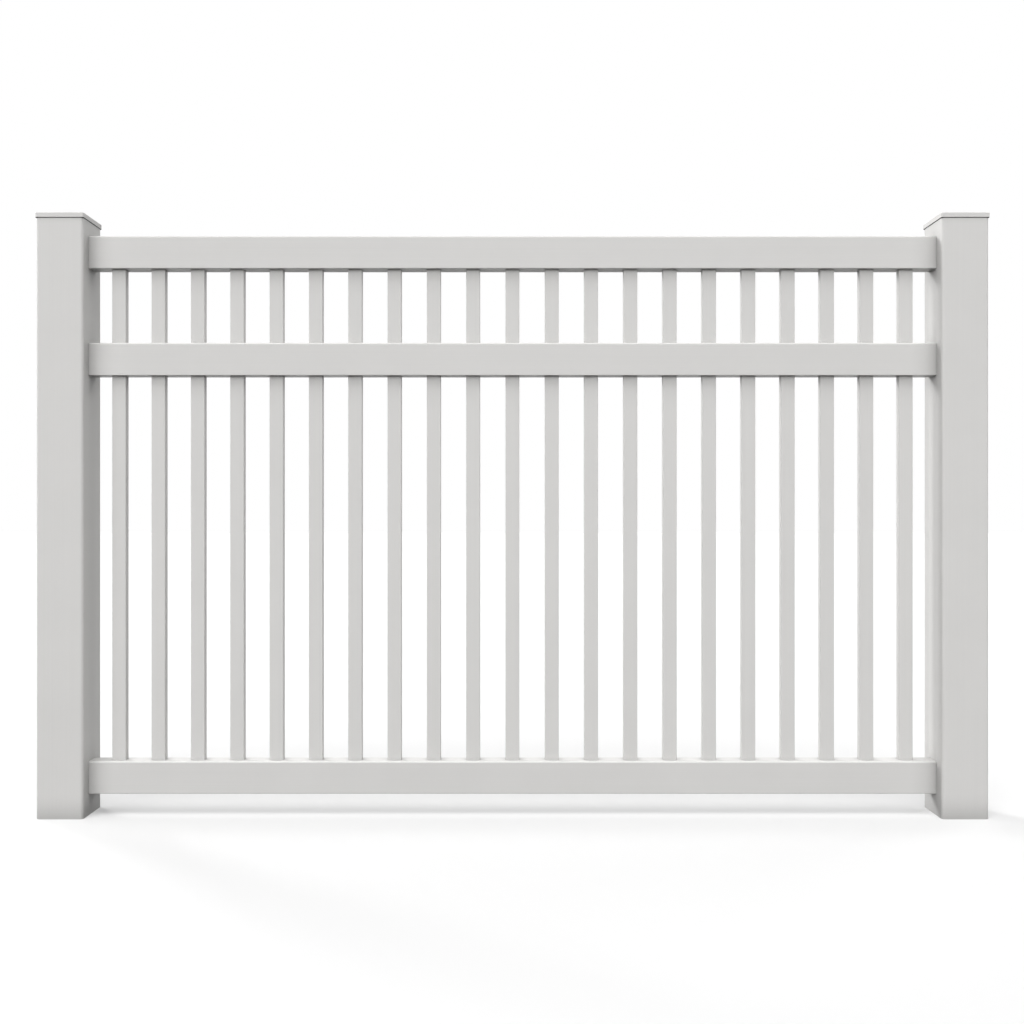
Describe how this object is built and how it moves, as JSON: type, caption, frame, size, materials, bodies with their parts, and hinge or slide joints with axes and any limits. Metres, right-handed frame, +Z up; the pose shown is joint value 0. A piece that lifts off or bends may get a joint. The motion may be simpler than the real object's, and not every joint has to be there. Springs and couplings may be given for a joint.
{
  "type": "pool fence panel",
  "caption": "Vinyl pool fence bay: square capped posts and horizontal rails, routed to carry a row of evenly spaced upright pickets around water.",
  "frame": {"origin": "ground level, at the middle of the left post's foot", "axes": "+X along the fence to the right post, +Y to the back, +Z up"},
  "size_m": [2.5729, 0.1314, 1.6357],
  "materials": {
    "post_vinyl": "satin",
    "cap_vinyl": "satin",
    "rail_vinyl": "satin",
    "picket_vinyl": "satin"
  },
  "bodies": {
    "root": {"left_post": "post_vinyl", "right_post": "post_vinyl", "left_post_cap": "cap_vinyl", "right_post_cap": "cap_vinyl", "top_rail": "rail_vinyl", "mid_rail": "rail_vinyl", "bottom_rail": "rail_vinyl", "picket_01": "picket_vinyl", "picket_02": "picket_vinyl", "picket_03": "picket_vinyl", "picket_04": "picket_vinyl", "picket_05": "picket_vinyl", "picket_06": "picket_vinyl", "picket_07": "picket_vinyl", "picket_08": "picket_vinyl", "picket_09": "picket_vinyl", "picket_10": "picket_vinyl", "picket_11": "picket_vinyl", "picket_12": "picket_vinyl", "picket_13": "picket_vinyl", "picket_14": "picket_vinyl", "picket_15": "picket_vinyl", "picket_16": "picket_vinyl", "picket_17": "picket_vinyl", "picket_18": "picket_vinyl", "picket_19": "picket_vinyl", "picket_20": "picket_vinyl", "picket_21": "picket_vinyl"}
  },
  "joints": []
}
